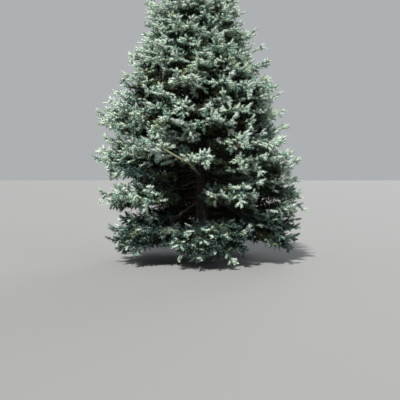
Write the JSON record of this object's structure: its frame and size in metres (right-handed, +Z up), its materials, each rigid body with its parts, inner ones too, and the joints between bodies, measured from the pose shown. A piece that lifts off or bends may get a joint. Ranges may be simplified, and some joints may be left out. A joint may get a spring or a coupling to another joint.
{
  "type": "blue spruce tree",
  "caption": "Whole blue spruce rooted in level ground: one straight trunk with root flare, bare low boughs round an open window, and a full conical crown of tiered foliage masses.",
  "frame": {"origin": "centre of the flat cut under the trunk, at ground level", "axes": "+Z up along the trunk, -Y towards the viewer of the picture, +X to the viewer's right"},
  "size_m": [4.1975, 4.0396, 7],
  "materials": {
    "trunk_bark": "rough, scaly grey-brown bark",
    "bough_bark": "rough tan to brown bark",
    "foliage": "matt waxy silver-blue needles"
  },
  "bodies": {
    "root": {"trunk": "trunk_bark", "bough_skirt_1": "bough_bark", "bough_skirt_2": "bough_bark", "bough_skirt_3": "bough_bark", "bough_skirt_4": "bough_bark", "bough_skirt_5": "bough_bark", "bough_shoulder_1": "bough_bark", "bough_shoulder_2": "bough_bark", "bough_shoulder_3": "bough_bark", "bough_shoulder_4": "bough_bark", "bough_shoulder_5": "bough_bark", "bough_arch_1": "bough_bark", "bough_arch_2": "bough_bark", "bough_arch_3": "bough_bark", "bough_arch_4": "bough_bark", "bough_arch_5": "bough_bark", "foliage_skirt_1": "foliage", "foliage_skirt_2": "foliage", "foliage_skirt_3": "foliage", "foliage_skirt_4": "foliage", "foliage_skirt_5": "foliage", "foliage_shoulder_1": "foliage", "foliage_shoulder_2": "foliage", "foliage_shoulder_3": "foliage", "foliage_shoulder_4": "foliage", "foliage_shoulder_5": "foliage", "foliage_arch_1": "foliage", "foliage_arch_2": "foliage", "foliage_arch_3": "foliage", "foliage_arch_4": "foliage", "foliage_arch_5": "foliage", "foliage_tier_1_1": "foliage", "foliage_tier_1_2": "foliage", "foliage_tier_1_3": "foliage", "foliage_tier_1_4": "foliage", "foliage_tier_1_5": "foliage", "foliage_tier_2_1": "foliage", "foliage_tier_2_2": "foliage", "foliage_tier_2_3": "foliage", "foliage_tier_2_4": "foliage", "foliage_tier_2_5": "foliage", "foliage_tier_3_1": "foliage", "foliage_tier_3_2": "foliage", "foliage_tier_3_3": "foliage", "foliage_tier_3_4": "foliage", "foliage_tier_4_1": "foliage", "foliage_tier_4_2": "foliage", "foliage_tier_4_3": "foliage", "foliage_tier_4_4": "foliage", "foliage_tier_5_1": "foliage", "foliage_tier_5_2": "foliage", "foliage_tier_5_3": "foliage", "foliage_tier_5_4": "foliage", "foliage_tier_6_1": "foliage", "foliage_tier_6_2": "foliage", "foliage_tier_6_3": "foliage", "foliage_tier_7_1": "foliage", "foliage_tier_7_2": "foliage", "foliage_tier_7_3": "foliage", "foliage_spire": "foliage"}
  },
  "joints": []
}
